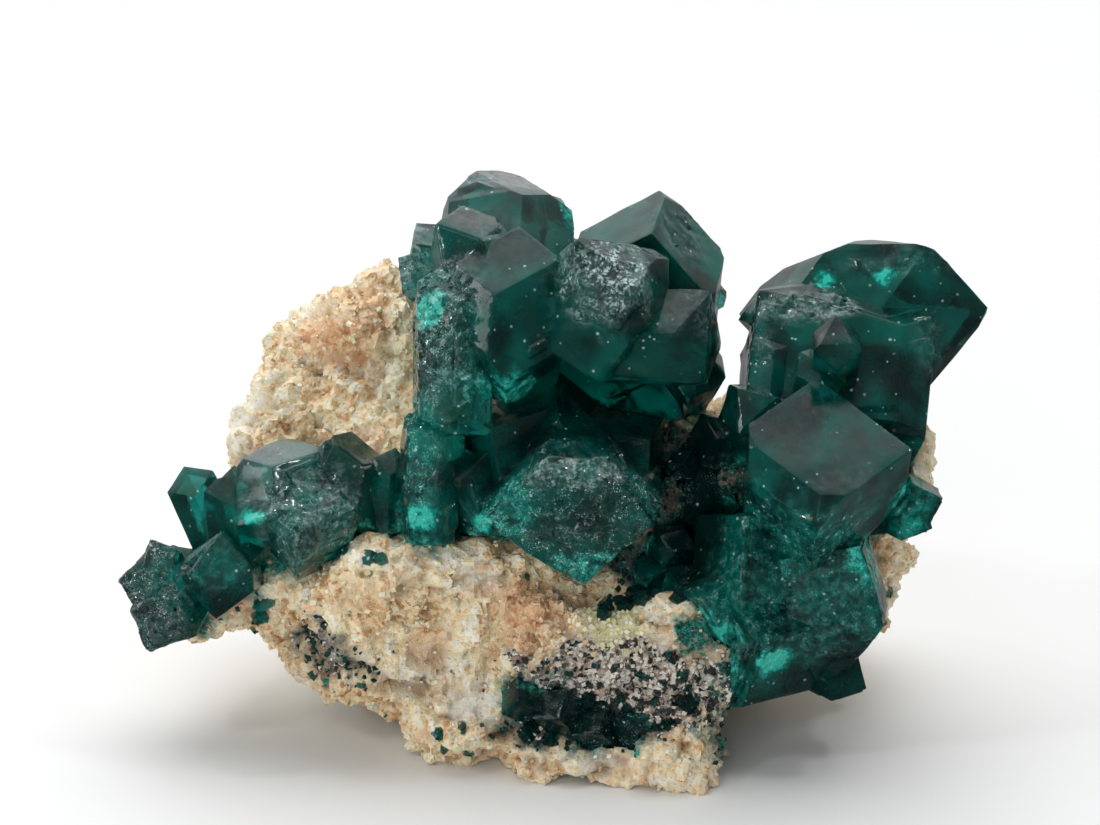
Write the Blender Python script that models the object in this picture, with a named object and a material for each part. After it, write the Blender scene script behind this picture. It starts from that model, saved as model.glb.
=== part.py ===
"""A dioptase specimen: dark green crystals grown together on a lump of tan rock.

Metres, +Z up. The viewer stands on the -Y side. The rock rests on its underside at Z = 0.
Everything is made in millimetres and scaled once, at the end, by MM.
"""

import math

import bmesh
import bpy
from mathutils import Matrix, Vector, noise

MM = 0.001

# The layout is described as a person sees it: looking down by LOOK_DOWN at a point
# LAYOUT_HEIGHT above the surface. A place is (across, up, near), near being towards the eye.
LOOK_DOWN = math.radians(20.0)
LAYOUT_HEIGHT = 16.0
ACROSS = Vector((1.0, 0.0, 0.0))
UP = Vector((0.0, math.sin(LOOK_DOWN), math.cos(LOOK_DOWN)))
NEAR = Vector((0.0, -math.cos(LOOK_DOWN), math.sin(LOOK_DOWN)))

# Dioptase habit: a six-sided prism closed by three rhombohedron faces.
TIP_TILT = math.radians(51.0)  # between the long axis and the normal of a tip face
SOCKET_GAP = 0.3  # clearance between a crystal and the rock that holds it
BLANK_SIZE = 80.0  # cube that each crystal is cut from
SHORTEST_EDGE = 0.002
FLAT_WITHIN = math.radians(0.1)

ROCK_VOXEL = 0.8
ROCK_TRIANGLES = 4800
ROCK_SKIN = ((0.20, 1.0), (0.55, 0.5))  # (bumps per mm, height in mm)
REST_HEIGHT = 0.55  # how much of the rock's underside is worn flat

COLOURS = {
    "dioptase": ((0.004, 0.075, 0.055, 1.0), 0.12),
    "rock": ((0.52, 0.36, 0.22, 1.0), 0.95),
}


def seen(across, up, near):
    """A place of the layout, in millimetres of the part's frame."""
    centre = Vector((0.0, 0.0, LAYOUT_HEIGHT))
    return centre + ACROSS * across + UP * up + NEAR * near


def heading(across, up, near):
    """A direction of the layout, as a unit vector."""
    return (ACROSS * across + UP * up + NEAR * near).normalized()


def crystal(tip, axis, half, length, twist=0.0, sides=(1,) * 6, foot=False, blunt=0.0,
            cuts=()):
    """One crystal, as the planes that bound it.

    tip is the point where the three tip faces meet, half the distance from the axis to a
    prism face. At twist 0 a tip face looks at the viewer. sides scales each prism face's
    distance, anticlockwise from the viewer's side. foot closes the lower end with tip faces
    too; otherwise it ends in a flat root. blunt is how much of the tip is missing, and cuts
    are more faces, each a place of the layout and the way that the face looks.
    """
    apex = seen(*tip)
    along = heading(*axis)
    front = NEAR - along * NEAR.dot(along)
    if front.length < 0.05:
        front = UP - along * UP.dot(along)
    front.normalize()
    beside = along.cross(front)

    def outward(azimuth, tilt):
        angle = math.radians(twist + azimuth)
        flat = front * math.cos(angle) + beside * math.sin(angle)
        return flat * math.sin(tilt) + along * math.cos(tilt)

    planes = []
    for step, share in enumerate(sides):
        normal = outward(30.0 + 60.0 * step, math.radians(90.0))
        planes.append((apex + normal * half * share, normal))
    for step in range(3):
        planes.append((apex, outward(120.0 * step, TIP_TILT)))
    if blunt:
        planes.append((apex - along * blunt, along))
    end = apex - along * length
    if foot:
        for step in range(3):
            planes.append((end, outward(60.0 + 120.0 * step, math.pi - TIP_TILT)))
    else:
        planes.append((end, -along))
    planes.extend((seen(*place), heading(*way)) for place, way in cuts)
    return {"middle": apex - along * length * 0.5, "planes": planes}


# Each group is one mass of crystals that grew into each other.
CENTRAL_GROUP = [
    # the pair at the back that makes the skyline
    crystal((-2.15, 11.8, -5.0), (0.03, 0.80, -0.60), 3.1, 9.5, twist=14),
    crystal((4.4, 8.85, 2.2), (-0.03, 0.37, 0.93), 3.4, 9.5, twist=-15,
            sides=(1.1, 1.1, 0.88, 0.8, 1, 1)),
    # the upright one in front, and the rough column to its left
    crystal((-1.47, 8.75, 2.4), (0.06, 0.99, -0.04), 2.8, 8.9, twist=-4, foot=True,
            sides=(0.75, 0.8, 1, 1, 0.95, 1)),
    crystal((-4.6, 7.33, 2.6), (0.0, 0.98, -0.10), 1.75, 8.5, twist=10),
    # the blunt one with the dull face, and the block to its right
    crystal((2.55, 9.6, 2.3), (0.02, 0.97, -0.20), 2.7, 8.7, twist=30, foot=True, blunt=1.9),
    crystal((9.3, 3.4, 2.8), (0.97, -0.03, 0.20), 2.2, 7.0, twist=-4, blunt=1.7),
    # the small ones at the upper left
    crystal((-4.15, 9.95, 0.6), (-0.15, 0.93, -0.30), 1.9, 6.0, twist=20),
    crystal((-7.33, 7.33, 0.0), (-0.75, 0.60, 0.0), 1.3, 5.0, twist=15),
    crystal((-6.4, 9.07, -0.8), (-0.50, 0.85, -0.10), 1.5, 5.5, twist=40),
    crystal((-6.4, 6.8, 1.6), (-0.30, 0.60, 0.70), 0.8, 3.2),
    # the broad one that leans out at the bottom
    crystal((1.40, -8.25, 3.5), (0.05, -0.98, 0.15), 4.5, 9.5, foot=True,
            cuts=[((0.9, -2.3, 7.0), (0.10, 0.90, 0.43))]),
    # those that fill the hollow above it
    crystal((-5.5, 0.94, 3.4), (0.0, 0.97, 0.10), 1.55, 7.0, twist=15),
    crystal((0.5, -0.9, 4.4), (0.10, 0.30, 0.95), 3.6, 9.0, twist=20),
    crystal((4.7, -1.3, 3.4), (0.50, 0.30, 0.80), 2.5, 8.0, twist=10),
    crystal((-2.8, -0.8, 4.2), (-0.30, 0.40, 0.85), 2.4, 8.0, twist=30),
    crystal((-4.4, -3.2, 4.6), (-0.30, 0.10, 0.95), 2.4, 8.0, twist=10),
    crystal((0.4, 3.6, 1.0), (0.0, 0.35, 0.93), 4.4, 9.0, twist=25),
    crystal((4.6, 2.4, 0.2), (0.10, 0.20, 0.95), 2.6, 7.0, twist=12),
    crystal((7.3, 3.2, -0.6), (0.25, 0.45, 0.85), 1.5, 7.0, twist=20),
    # the backs of the skyline crystals
    crystal((-0.6, 7.4, -8.0), (-0.10, 0.35, -0.93), 2.6, 8.0, twist=15),
    crystal((4.4, 7.2, -6.4), (0.20, 0.50, -0.80), 2.7, 8.0, twist=35),
]

RIGHT_GROUP = [
    # the large one at the back, lying to the right
    crystal((21.2, 4.8, -1.5), (0.96, 0.0, 0.28), 3.5, 12.5, twist=8, foot=True,
            cuts=[((11.2, 7.3, -2.0), (-0.47, 0.85, -0.15))]),
    # the broad one in the middle, with a small one on it
    crystal((14.2, 7.2, -2.8), (0.12, 0.90, -0.38), 4.3, 9.5, twist=5),
    crystal((13.3, 3.8, 6.2), (0.0, 0.45, 0.90), 1.1, 4.5, blunt=0.5),
    # the shield-shaped one in front
    crystal((12.4, 1.6, 4.2), (0.03, 1.0, 0.0), 4.4, 9.5, foot=True,
            sides=(1.3, 1.5, 1.15, 0.85, 0.72, 0.85)),
    # those deep in the cleft, and the small one at its edge
    crystal((7.9, -1.2, 0.8), (-0.05, 0.30, 0.95), 1.5, 6.0, twist=15),
    crystal((7.5, -4.0, 1.6), (0.05, 0.10, 0.97), 1.4, 5.0, twist=40),
    crystal((9.4, 0.6, -1.0), (-0.05, 0.60, 0.80), 1.3, 5.5, twist=30),
    crystal((10.8, 4.8, -2.4), (-0.10, 0.80, 0.50), 1.6, 7.0, twist=20),
    crystal((9.2, 0.65, 4.5), (-0.15, 0.35, 0.92), 1.3, 7.0, twist=20, blunt=0.8),
    # the small ones that floor the cleft
    crystal((6.35, -2.4, 1.5), (0.05, 0.10, 0.99), 0.7, 4.0),
    crystal((5.6, -6.6, 2.3), (-0.10, -0.10, 0.99), 1.1, 5.0, twist=20),
    crystal((4.5, -7.9, 1.9), (-0.25, -0.20, 0.95), 0.9, 4.5, twist=45),
    crystal((6.4, -8.4, 2.8), (0.10, -0.15, 0.98), 1.0, 5.0, twist=5),
    # the crust of stout crystals under them
    crystal((9.1, -4.8, 4.8), (-0.15, 0.65, 0.74), 2.9, 8.0, twist=40),
    crystal((14.4, -6.2, 4.8), (0.35, 0.55, 0.75), 3.0, 8.0),
    crystal((9.7, -10.6, 5.3), (-0.10, -0.10, 0.98), 3.4, 8.0, twist=25),
    crystal((13.5, -10.6, 3.8), (0.40, -0.35, 0.85), 2.6, 7.0, twist=50),
    crystal((7.2, -8.7, 4.8), (-0.40, 0.10, 0.90), 1.8, 5.0),
    crystal((18.6, -4.15, 1.5), (0.85, 0.10, 0.50), 1.3, 5.0, twist=20),
    crystal((18.1, -5.5, 1.4), (0.80, -0.40, 0.40), 1.2, 5.0),
    crystal((15.0, -13.1, 1.0), (0.75, -0.40, 0.50), 1.3, 5.0),
]

LEFT_GROUP = [
    crystal((-12.6, -1.15, -0.5), (-0.05, 0.85, -0.50), 2.3, 5.5),
    crystal((-9.45, -0.86, -0.5), (0.15, 0.85, -0.40), 1.9, 5.0, twist=30),
    crystal((-14.95, -2.2, 0.5), (-0.10, 0.95, 0.10), 1.75, 6.0, twist=10, foot=True),
    crystal((-15.5, -5.6, 2.4), (0.0, 0.75, 0.60), 1.75, 5.0, twist=-10, foot=True),
    crystal((-10.9, -2.2, 2.4), (0.15, 0.85, 0.10), 2.3, 6.0, foot=True),
    crystal((-7.3, -1.65, 1.5), (0.20, 0.90, 0.10), 0.9, 4.0),
    crystal((-7.65, -4.1, 2.0), (0.10, 0.50, 0.80), 1.2, 4.0),
    crystal((-17.6, -2.6, -2.0), (-0.40, 0.85, -0.10), 1.2, 5.0),
    # the cluster at the far left end
    crystal((-20.6, -7.5, 0.5), (-0.80, 0.30, 0.40), 1.55, 4.5, twist=20),
    crystal((-19.0, -6.0, 0.5), (-0.30, 0.85, 0.30), 1.2, 4.0),
    crystal((-19.0, -11.3, 1.0), (-0.35, -0.75, 0.50), 1.7, 5.0),
]

LOWER_GROUP = [
    crystal((-1.5, -13.6, 4.0), (-0.20, -0.10, 0.97), 1.0, 4.0, twist=10),
    crystal((0.4, -14.3, 4.2), (0.0, -0.20, 0.97), 1.1, 4.0, twist=40),
    crystal((2.3, -14.9, 4.0), (0.10, -0.10, 0.97), 1.1, 4.0),
    crystal((4.1, -15.0, 3.8), (0.20, 0.0, 0.97), 1.0, 4.0, twist=25),
]

GROUPS = {
    "central_crystals": CENTRAL_GROUP,
    "right_crystals": RIGHT_GROUP,
    "left_crystals": LEFT_GROUP,
    "lower_crystals": LOWER_GROUP,
}

# Lumps that the rock is massed from: (centre, half sizes, turn about Z in degrees).
ROCK_LUMPS = [
    ((0.0, 3.5, 8.5), (12.0, 7.0, 6.5), 0),
    ((-8.0, 8.0, 14.5), (3.6, 3.6, 5.6), 0),
    ((-11.0, 7.5, 12.5), (3.6, 3.6, 5.2), -8),
    ((-12.6, 6.5, 11.6), (2.8, 3.2, 3.6), 10),
    ((-12.0, 1.5, 7.6), (5.0, 4.5, 3.0), 0),
    ((-16.2, -0.6, 6.6), (2.2, 2.4, 1.9), 0),
    ((-5.5, -1.8, 7.4), (6.4, 4.6, 4.4), 12),
    ((-8.0, 0.0, 4.6), (4.8, 4.6, 3.0), 10),
    ((-3.0, -3.2, 2.4), (3.6, 3.8, 2.2), 0),
    ((3.2, -4.6, 1.5), (5.7, 4.4, 2.1), 0),
    ((2.0, 4.0, 2.2), (8.5, 6.0, 2.6), 0),
    ((4.0, -3.0, 5.6), (7.0, 4.9, 3.2), 0),
    ((11.0, 4.0, 8.5), (6.0, 5.8, 5.6), 0),
    ((14.6, 3.0, 12.6), (3.8, 4.0, 3.6), 0),
]


def cleaned(bm):
    """Closes up edges too short to matter and leaves each flat face in few triangles."""
    bmesh.ops.remove_doubles(bm, verts=bm.verts, dist=SHORTEST_EDGE)
    bmesh.ops.dissolve_degenerate(bm, dist=SHORTEST_EDGE, edges=bm.edges)
    bmesh.ops.dissolve_limit(bm, angle_limit=FLAT_WITHIN, verts=bm.verts, edges=bm.edges)
    bmesh.ops.triangulate(bm, faces=bm.faces)


def cut_by_planes(planes, middle, grow):
    """The solid inside the planes, each moved out by grow."""
    bm = bmesh.new()
    bmesh.ops.create_cube(bm, size=BLANK_SIZE)
    bmesh.ops.translate(bm, verts=bm.verts, vec=middle)
    for point, normal in planes:
        cut = bmesh.ops.bisect_plane(
            bm,
            geom=bm.verts[:] + bm.edges[:] + bm.faces[:],
            plane_co=point + normal * grow,
            plane_no=normal,
            clear_outer=True,
        )
        rim = [item for item in cut["geom_cut"] if isinstance(item, bmesh.types.BMEdge)]
        if rim:
            bmesh.ops.holes_fill(bm, edges=rim, sides=0)
    cleaned(bm)
    bmesh.ops.recalc_face_normals(bm, faces=bm.faces)
    return bm


def add_object(name, bm):
    mesh = bpy.data.meshes.new(name)
    bm.to_mesh(mesh)
    bm.free()
    obj = bpy.data.objects.new(name, mesh)
    bpy.context.scene.collection.objects.link(obj)
    return obj


def taken_out(obj):
    """What obj's modifiers make of it, as a bmesh; obj is used up."""
    bm = bmesh.new()
    bm.from_object(obj, bpy.context.evaluated_depsgraph_get())
    bpy.data.objects.remove(obj)
    return bm


def combined(first, second, operation):
    """first united with, or cut by, second, as one object; both are used up."""
    boolean = first.modifiers.new("join", "BOOLEAN")
    boolean.operation = operation
    boolean.solver = "EXACT"
    boolean.object = second
    name = first.name
    bm = taken_out(first)
    bpy.data.objects.remove(second)
    cleaned(bm)
    return add_object(name, bm)


def largest_piece(bm):
    """Drops loose crumbs and sealed hollows, and keeps the one outer skin."""
    left = set(bm.verts)
    pieces = []
    while left:
        seed = left.pop()
        piece, edge_of_piece = {seed}, [seed]
        while edge_of_piece:
            vert = edge_of_piece.pop()
            for edge in vert.link_edges:
                other = edge.other_vert(vert)
                if other in left:
                    left.discard(other)
                    piece.add(other)
                    edge_of_piece.append(other)
        pieces.append(piece)
    pieces.sort(key=len)
    crumbs = [vert for piece in pieces[:-1] for vert in piece]
    bmesh.ops.delete(bm, geom=crumbs, context="VERTS")


def grown_together(name, crystals, grow=0.0):
    """Crystals that overlap, as one solid; grow moves every face out."""
    mass = None
    for c in crystals:
        piece = add_object(name, cut_by_planes(c["planes"], c["middle"], grow))
        mass = combined(mass, piece, "UNION") if mass else piece
    bm = taken_out(mass)
    largest_piece(bm)
    return add_object(name, bm)


def rock_lump(centre, half_sizes, turn):
    """A rounded block, between a ball and a box as broken rock is, in millimetres."""
    bm = bmesh.new()
    bmesh.ops.create_icosphere(bm, subdivisions=4, radius=1.0)
    for vert in bm.verts:
        boxed = vert.co / max(abs(c) for c in vert.co)
        vert.co = vert.co.lerp(boxed, 0.4)
    stretch = Matrix.Diagonal((*half_sizes, 1.0))
    bm.transform(Matrix.Translation(centre) @ Matrix.Rotation(math.radians(turn), 4, "Z") @ stretch)
    return bm


def roughened(bm):
    """Pushes the rock's skin in and out by layered noise, in millimetres."""
    bm.normal_update()
    for vert in bm.verts:
        push = 0.0
        for per_mm, height in ROCK_SKIN:
            push += noise.noise(vert.co * per_mm) * height
        vert.co += vert.normal * push


def rock_mass():
    """The lumps grown into one rough block, in millimetres."""
    bm = bmesh.new()
    for lump in ROCK_LUMPS:
        mesh = bpy.data.meshes.new("lump")
        piece = rock_lump(*lump)
        piece.to_mesh(mesh)
        piece.free()
        bm.from_mesh(mesh)
        bpy.data.meshes.remove(mesh)
    obj = add_object("rock_mass", bm)
    remesh = obj.modifiers.new("grow together", "REMESH")
    remesh.mode = "VOXEL"
    remesh.voxel_size = ROCK_VOXEL
    bm = taken_out(obj)
    roughened(bm)
    obj = add_object("rock_mass", bm)
    thin = obj.modifiers.new("fewer faces", "DECIMATE")
    thin.ratio = min(1.0, ROCK_TRIANGLES / sum(len(p.vertices) - 2 for p in obj.data.polygons))
    return taken_out(obj)


def worn_flat(bm, height):
    """Cuts the underside off at a height, so that the rock stands on a flat patch."""
    cut = bmesh.ops.bisect_plane(
        bm,
        geom=bm.verts[:] + bm.edges[:] + bm.faces[:],
        plane_co=Vector((0.0, 0.0, height)),
        plane_no=Vector((0.0, 0.0, -1.0)),
        clear_outer=True,
    )
    rim = [item for item in cut["geom_cut"] if isinstance(item, bmesh.types.BMEdge)]
    bmesh.ops.holes_fill(bm, edges=rim, sides=0)


def matrix_rock():
    """The rock, with a socket for each mass of crystals."""
    bm = rock_mass()
    worn_flat(bm, REST_HEIGHT)
    rock = add_object("matrix_rock", bm)
    for group in GROUPS.values():
        rock = combined(rock, grown_together("socket", group, SOCKET_GAP), "DIFFERENCE")
    bm = taken_out(rock)
    largest_piece(bm)
    return add_object("matrix_rock", bm)


def painted(obj, finish):
    material = bpy.data.materials.get(finish)
    if material is None:
        colour, roughness = COLOURS[finish]
        material = bpy.data.materials.new(finish)
        material.use_nodes = True
        shader = material.node_tree.nodes["Principled BSDF"]
        shader.inputs["Base Color"].default_value = colour
        shader.inputs["Roughness"].default_value = roughness
    obj.data.materials.clear()
    obj.data.materials.append(material)


def stand_on_origin(objects):
    """Scales to metres, with the middle of the whole specimen's underside at the origin."""
    corners = [vert.co for obj in objects for vert in obj.data.vertices]
    low = Vector(map(min, zip(*corners)))
    high = Vector(map(max, zip(*corners)))
    shift = Vector((-(low.x + high.x) / 2, -(low.y + high.y) / 2, -low.z))
    for obj in objects:
        obj.data.transform(Matrix.Scale(MM, 4) @ Matrix.Translation(shift))
    return shift * MM


def main():
    for obj in list(bpy.data.objects):
        bpy.data.objects.remove(obj)
    crystals = [grown_together(name, group) for name, group in GROUPS.items()]
    rock = matrix_rock()
    for obj in crystals:
        painted(obj, "dioptase")
    painted(rock, "rock")
    return stand_on_origin([*crystals, rock])


main()
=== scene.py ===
import math
import random

import bmesh
import bpy
import numpy as np
from mathutils import Matrix, Vector, noise
from mathutils.bvhtree import BVHTree


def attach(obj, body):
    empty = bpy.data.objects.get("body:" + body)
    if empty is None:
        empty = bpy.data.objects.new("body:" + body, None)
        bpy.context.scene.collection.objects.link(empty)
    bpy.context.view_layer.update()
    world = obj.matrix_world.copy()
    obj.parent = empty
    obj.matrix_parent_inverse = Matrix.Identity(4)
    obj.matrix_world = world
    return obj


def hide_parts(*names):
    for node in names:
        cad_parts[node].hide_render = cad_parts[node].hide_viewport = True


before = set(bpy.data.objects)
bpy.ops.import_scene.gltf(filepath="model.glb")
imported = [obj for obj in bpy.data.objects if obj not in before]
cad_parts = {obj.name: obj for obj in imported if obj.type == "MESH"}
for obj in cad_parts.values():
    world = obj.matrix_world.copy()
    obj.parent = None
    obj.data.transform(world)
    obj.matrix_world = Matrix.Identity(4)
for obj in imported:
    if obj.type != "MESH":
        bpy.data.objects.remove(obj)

noise.seed_set(5)  # without it the tilt of the small faces follows the clock
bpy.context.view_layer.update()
print("frame loaded:", sorted(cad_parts))

# Places are (across, up, near) in millimetres, as the viewer sees them; "near" comes closer.
view = {
    "lookDown": math.radians(20.0),
    "middleHeight": 16.0,  # the looked-at point above the floor, before the shift
    "shift": (-0.300, -0.808, -0.55),  # from the layout to the part's own frame
    "distance": 0.2,  # metres
    "picturePixels": 1100,
    "pixelsPerMm": 21,  # at the looked-at point
    "sensorWide": 36.0,
}
mm = 0.001
across = Vector((1.0, 0.0, 0.0))
up = Vector((0.0, math.sin(view["lookDown"]), math.cos(view["lookDown"])))
near = Vector((0.0, -math.cos(view["lookDown"]), math.sin(view["lookDown"])))
middle = Vector((0.0, 0.0, view["middleHeight"])) + Vector(view["shift"])


def seen(place):
    return middle + across * place[0] + up * place[1] + near * place[2]


def heading(way):
    return (across * way[0] + up * way[1] + near * way[2]).normalized()


def newObject(name, bm):
    mesh = bpy.data.meshes.new(name)
    bm.to_mesh(mesh)
    bm.free()
    obj = bpy.data.objects.new(name, mesh)
    bpy.context.scene.collection.objects.link(obj)
    return obj


def asLeft(obj):  # the object as its modifiers leave it, as a bmesh
    bm = bmesh.new()
    bm.from_object(obj, bpy.context.evaluated_depsgraph_get())
    return bm


def dropped(obj):
    mesh = obj.data
    bpy.data.objects.remove(obj)
    bpy.data.meshes.remove(mesh)


def usedUp(obj):
    bm = asLeft(obj)
    dropped(obj)
    return bm


def scaled(bm, factor):
    bmesh.ops.scale(bm, vec=Vector((factor,) * 3), verts=bm.verts)


def inMillimetres(mesh, placed=None):
    bm = bmesh.new()
    bm.from_mesh(mesh)
    if placed is not None:
        bm.transform(placed)
    scaled(bm, 1 / mm)
    return bm


def cadNode(name):  # in its place, in millimetres
    node = bpy.data.objects[name]
    return inMillimetres(node.data, node.matrix_world)


def treeOf(bm):  # for distances and rays
    tree = BVHTree.FromBMesh(bm)
    bm.free()
    return tree


def tidied(bm, shortest):
    bmesh.ops.remove_doubles(bm, verts=bm.verts, dist=shortest)
    bmesh.ops.dissolve_degenerate(bm, dist=shortest, edges=bm.edges)


def closed(bm):
    return all(len(e.link_faces) == 2 for e in bm.edges)


def joined(first, second):  # grown together; what can't be joined cleanly is left off
    whole = asLeft(first)
    volume = whole.calc_volume()
    whole.free()
    union = first.modifiers.new("join", "BOOLEAN")
    union.operation = "UNION"
    union.solver = "EXACT"
    union.object = second
    for nudge in (0.0, 0.003, -0.005, 0.008):
        for vert in second.data.vertices:
            vert.co += Vector((nudge, -nudge, nudge * 0.7))
        second.data.update()
        for shortest in (0.002, 0.0):
            bm = asLeft(first)
            if shortest:
                tidied(bm, shortest)
            if closed(bm) and bm.calc_volume() > volume * 0.9999:
                name = first.name
                dropped(first)
                dropped(second)
                return newObject(name, bm)
            bm.free()
    first.modifiers.remove(union)
    dropped(second)
    print(first.name, "left one block off")
    return first


# zones of the surface, as soft ragged ellipsoids: "at" and "size" in millimetres as seen
def zoneShare(places, zones, quality, ragged):
    total = np.zeros(len(places))
    for zone in zones:
        if quality not in zone:
            continue
        away = places - np.array(seen(zone["at"]))
        spread = np.stack([away @ np.array(way) for way in (across, up, near)], axis=1)
        reach = np.linalg.norm(spread / np.array(zone["size"]), axis=1) + ragged
        total = np.maximum(total, zone[quality] * np.clip((1.25 - reach) / 0.5, 0.0, 1.0))
    return total


def addShare(mesh, name, values):
    layer = mesh.attributes.new(name, "FLOAT", "POINT")
    layer.data.foreach_set("value", values.astype(np.float32))


def skinned(name, bm, shares, sharpAngle):  # an object in metres that carries its zones
    scaled(bm, mm)
    obj = newObject(name, bm)
    for quality, values in shares.items():
        addShare(obj.data, quality, values)
    obj.data.shade_smooth()
    obj.data.set_sharp_from_angle(angle=sharpAngle)
    return obj


# crystals
crystalHabit = {
    "tipTilt": math.radians(51.0),
    "blank": 80.0,
    "wobble": 0.6,  # degrees that a face strays from its ideal
    "bevel": (0.035, 0.09),  # rounding of the edges, millimetres
    "smallBevel": 0.02,  # on plates and parallel crystals
    "fullSize": 2.5,  # the half width from which chips and steps have their full depth
    "chips": (0.45, 0.05, 0.22),  # the share of corners knocked off, and their least and most depth
    "plateChips": (0.3, 0.1, 0.5),
    "kidChips": (0.2, 0.03, 0.1),
    "seedChips": (0.15, 0.02, 0.06),
    "plateFrom": 1.2,  # the half width from which faces carry plates
    "plateLift": (0.03, 0.07),
    "plateInset": 0.10,  # of the half width, for each plate
}


def crystalPlanes(c):
    apex, along, front = c["apex"], c["along"], c["front"]
    beside = along.cross(front)
    twist, half = c.get("twist", 0), c["half"]
    stray = random.Random(c["seed"])

    def outward(azimuth, tilt):
        angle = math.radians(twist + azimuth + stray.uniform(-1, 1) * crystalHabit["wobble"])
        tilt += math.radians(stray.uniform(-1, 1) * crystalHabit["wobble"])
        flat = front * math.cos(angle) + beside * math.sin(angle)
        return flat * math.sin(tilt) + along * math.cos(tilt)

    planes = []
    for step, share in enumerate(c.get("sides", (1,) * 6)):
        way = outward(30 + 60 * step, math.pi / 2)
        planes.append((apex + way * half * share, way))
    for step in range(3):
        planes.append((apex, outward(120 * step, crystalHabit["tipTilt"])))
    if c.get("blunt"):
        planes.append((apex - along * c["blunt"], along))
    end = apex - along * c["length"]
    if c.get("foot"):
        for step in range(3):
            planes.append((end, outward(60 + 120 * step, math.pi - crystalHabit["tipTilt"])))
    else:
        planes.append((end, -along))
    planes += [(seen(place), heading(way)) for place, way in c.get("cuts", ())]
    return planes


def cutAway(bm, place, way):
    cut = bmesh.ops.bisect_plane(
        bm, geom=bm.verts[:] + bm.edges[:] + bm.faces[:], dist=1e-5,
        plane_co=place, plane_no=way, clear_outer=True,
    )
    rim = [e for e in cut["geom_cut"] if isinstance(e, bmesh.types.BMEdge)]
    if rim:
        bmesh.ops.holes_fill(bm, edges=rim, sides=0)


def cutBlock(planes, centre, chips, width, stray):
    bm = bmesh.new()
    bmesh.ops.create_cube(bm, size=crystalHabit["blank"])
    bmesh.ops.translate(bm, verts=bm.verts, vec=centre)
    for place, way in planes:
        cutAway(bm, place, way)
    tidied(bm, 0.01)
    bm.normal_update()
    corners = [(v.co.copy(), v.normal.copy()) for v in bm.verts]
    for place, way in corners:  # knocked corners
        if stray.random() < chips[0]:
            lean = Vector([stray.uniform(-0.5, 0.5) for _ in range(3)])
            cutAway(bm, place - way * stray.uniform(*chips[1:]), (way + lean).normalized())
    tidied(bm, 0.01)
    if width:
        bmesh.ops.bevel(
            bm, geom=bm.edges[:], offset=width, affect="EDGES", segments=2,
            profile=0.5, material=-1, clamp_overlap=True,
        )
    bmesh.ops.remove_doubles(bm, verts=bm.verts, dist=0.002)
    bmesh.ops.recalc_face_normals(bm, faces=bm.faces)
    bmesh.ops.triangulate(bm, faces=bm.faces)
    return bm


def terrace(planes, index, lift, inset, stray):  # a low plate grown on one face
    moved = []
    for number, (place, way) in enumerate(planes):
        if number == index:
            moved.append((place + way * lift, way))
        else:
            moved.append((place - way * inset * stray.uniform(0.4, 1.6), way))
    return moved


def parallelGrowth(c, planes, stray):  # small crystals a little proud of their parent
    along, front = c["along"], c["front"]
    beside = along.cross(front)
    sides = c.get("sides", (1,) * 6)
    for number in range(c["kids"]):
        side = stray.randrange(6)
        angle = math.radians(c.get("twist", 0) + 30 + 60 * side)
        way = front * math.cos(angle) + beside * math.sin(angle)
        half = c["half"] * stray.uniform(0.16, 0.38)
        proud = stray.uniform(0.04, 0.16) * min(1.0, c["half"] / crystalHabit["fullSize"])
        spot = c["apex"] - along * (c["half"] * 0.9 + c["length"] * stray.uniform(0.12, 0.7))
        spot += way * (c["half"] * sides[side] - half + proud)
        spot += along.cross(way) * c["half"] * stray.uniform(-0.45, 0.45)
        length = half * stray.uniform(2.0, 5.0)
        heart = spot - along * length / 2
        if max((heart - place).dot(out) for place, out in planes) < 0.0:  # stays on the parent
            yield dict(
                apex=spot, along=along, front=front, half=half, length=length,
                twist=c.get("twist", 0), foot=True, seed=c["seed"] * 31 + number,
            )


def wholeCrystal(name, c, settings):  # one crystal with its terraces and parallel growth
    stray = random.Random(c["seed"] + 500)
    centre = c["apex"] - c["along"] * c["length"] / 2
    planes = crystalPlanes(c)
    size = min(1.0, c["half"] / crystalHabit["fullSize"])
    worn = c.get("worn", 1.0)
    share, least, most = crystalHabit["chips"]
    chips = (share * min(worn, 2.0), least * size, most * size * worn)
    width = stray.uniform(*crystalHabit["bevel"]) * worn
    narrow = crystalHabit["smallBevel"]
    whole = newObject(name, cutBlock(planes, centre, chips, width, stray))
    blocks = []
    for index in range(len(planes)):
        wide = c["half"] > crystalHabit["plateFrom"]
        if wide and stray.random() < c.get("plates", settings["steps"]):
            inset, lift = c["half"] * crystalHabit["plateInset"], 0.0
            for _ in range(stray.choice((1, 1, 1, 2))):
                lift += stray.uniform(*crystalHabit["plateLift"])
                plate = terrace(planes, index, lift, inset, stray)
                blocks.append(cutBlock(plate, centre, crystalHabit["plateChips"], narrow, stray))
                inset += c["half"] * crystalHabit["plateInset"]
    for kid in parallelGrowth(c, planes, stray):
        heart = kid["apex"] - kid["along"] * kid["length"] / 2
        chips = crystalHabit["kidChips"]
        blocks.append(cutBlock(crystalPlanes(kid), heart, chips, narrow, stray))
    for block in blocks:
        whole = joined(whole, newObject(name, block))
    return whole


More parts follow.
